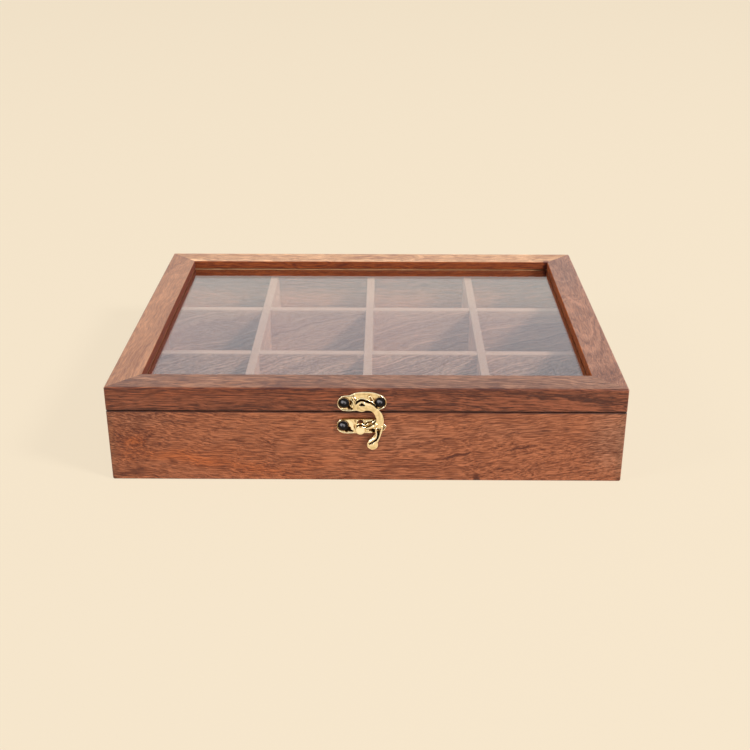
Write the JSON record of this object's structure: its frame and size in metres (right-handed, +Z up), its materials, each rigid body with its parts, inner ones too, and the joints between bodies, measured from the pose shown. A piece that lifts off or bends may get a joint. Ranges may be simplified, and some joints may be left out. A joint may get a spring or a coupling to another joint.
{
  "type": "spice box",
  "caption": "Low wooden spice box with a hinged glass-topped lid, a brass hook latch and a grid of open compartments for spices.",
  "frame": {"origin": "middle of the underside, on the surface that the box stands on", "axes": "+X to the right as the box is seen from its latch, +Y to the back with the hinges, +Z up"},
  "size_m": [0.254, 0.2105, 0.0508],
  "materials": {
    "tray_wood": "satin oiled rosewood",
    "lid_wood": "satin oiled rosewood",
    "divider_wood": "matte rosewood",
    "panel_wood": "matte plywood",
    "glass": "clear",
    "latch_brass": "polished, embossed",
    "hinge_brass": "satin",
    "screw_black": "gloss black",
    "nail_steel": "satin"
  },
  "bodies": {
    "base": {"front_wall": "tray_wood", "back_wall": "tray_wood", "left_wall": "tray_wood", "right_wall": "tray_wood", "bottom_panel": "panel_wood", "bottom_panel_nails": "nail_steel", "cross_divider_1": "divider_wood", "cross_divider_2": "divider_wood", "cross_divider_3": "divider_wood", "long_divider_1": "divider_wood", "long_divider_2": "divider_wood", "left_hinge_base_leaf": "hinge_brass", "right_hinge_base_leaf": "hinge_brass", "left_hinge_pin": "hinge_brass", "right_hinge_pin": "hinge_brass", "hinge_base_screws": "screw_black", "catch_plate": "latch_brass", "catch_plate_screws": "screw_black"},
    "lid": {"lid_front_rail": "lid_wood", "lid_back_rail": "lid_wood", "lid_left_rail": "lid_wood", "lid_right_rail": "lid_wood", "glass_pane": "glass", "left_hinge_lid_leaf": "hinge_brass", "right_hinge_lid_leaf": "hinge_brass", "hinge_lid_screws": "screw_black", "latch_plate": "latch_brass", "latch_plate_screws": "screw_black", "latch_rivet": "latch_brass"},
    "latch_arm": {"latch_arm": "latch_brass"}
  },
  "joints": [
    {"name": "lid_hinge", "type": "hinge", "parent": "base", "child": "lid", "pos_m": [0, 0.1032, 0.03815], "axis": [-1, 0, 0], "range_deg": [0, 180]},
    {"name": "latch_swing", "type": "hinge", "parent": "lid", "child": "latch_arm", "pos_m": [-0.0016, -0.1015, 0.04265], "axis": [0, -1, 0], "range_deg": [0, 180]}
  ]
}
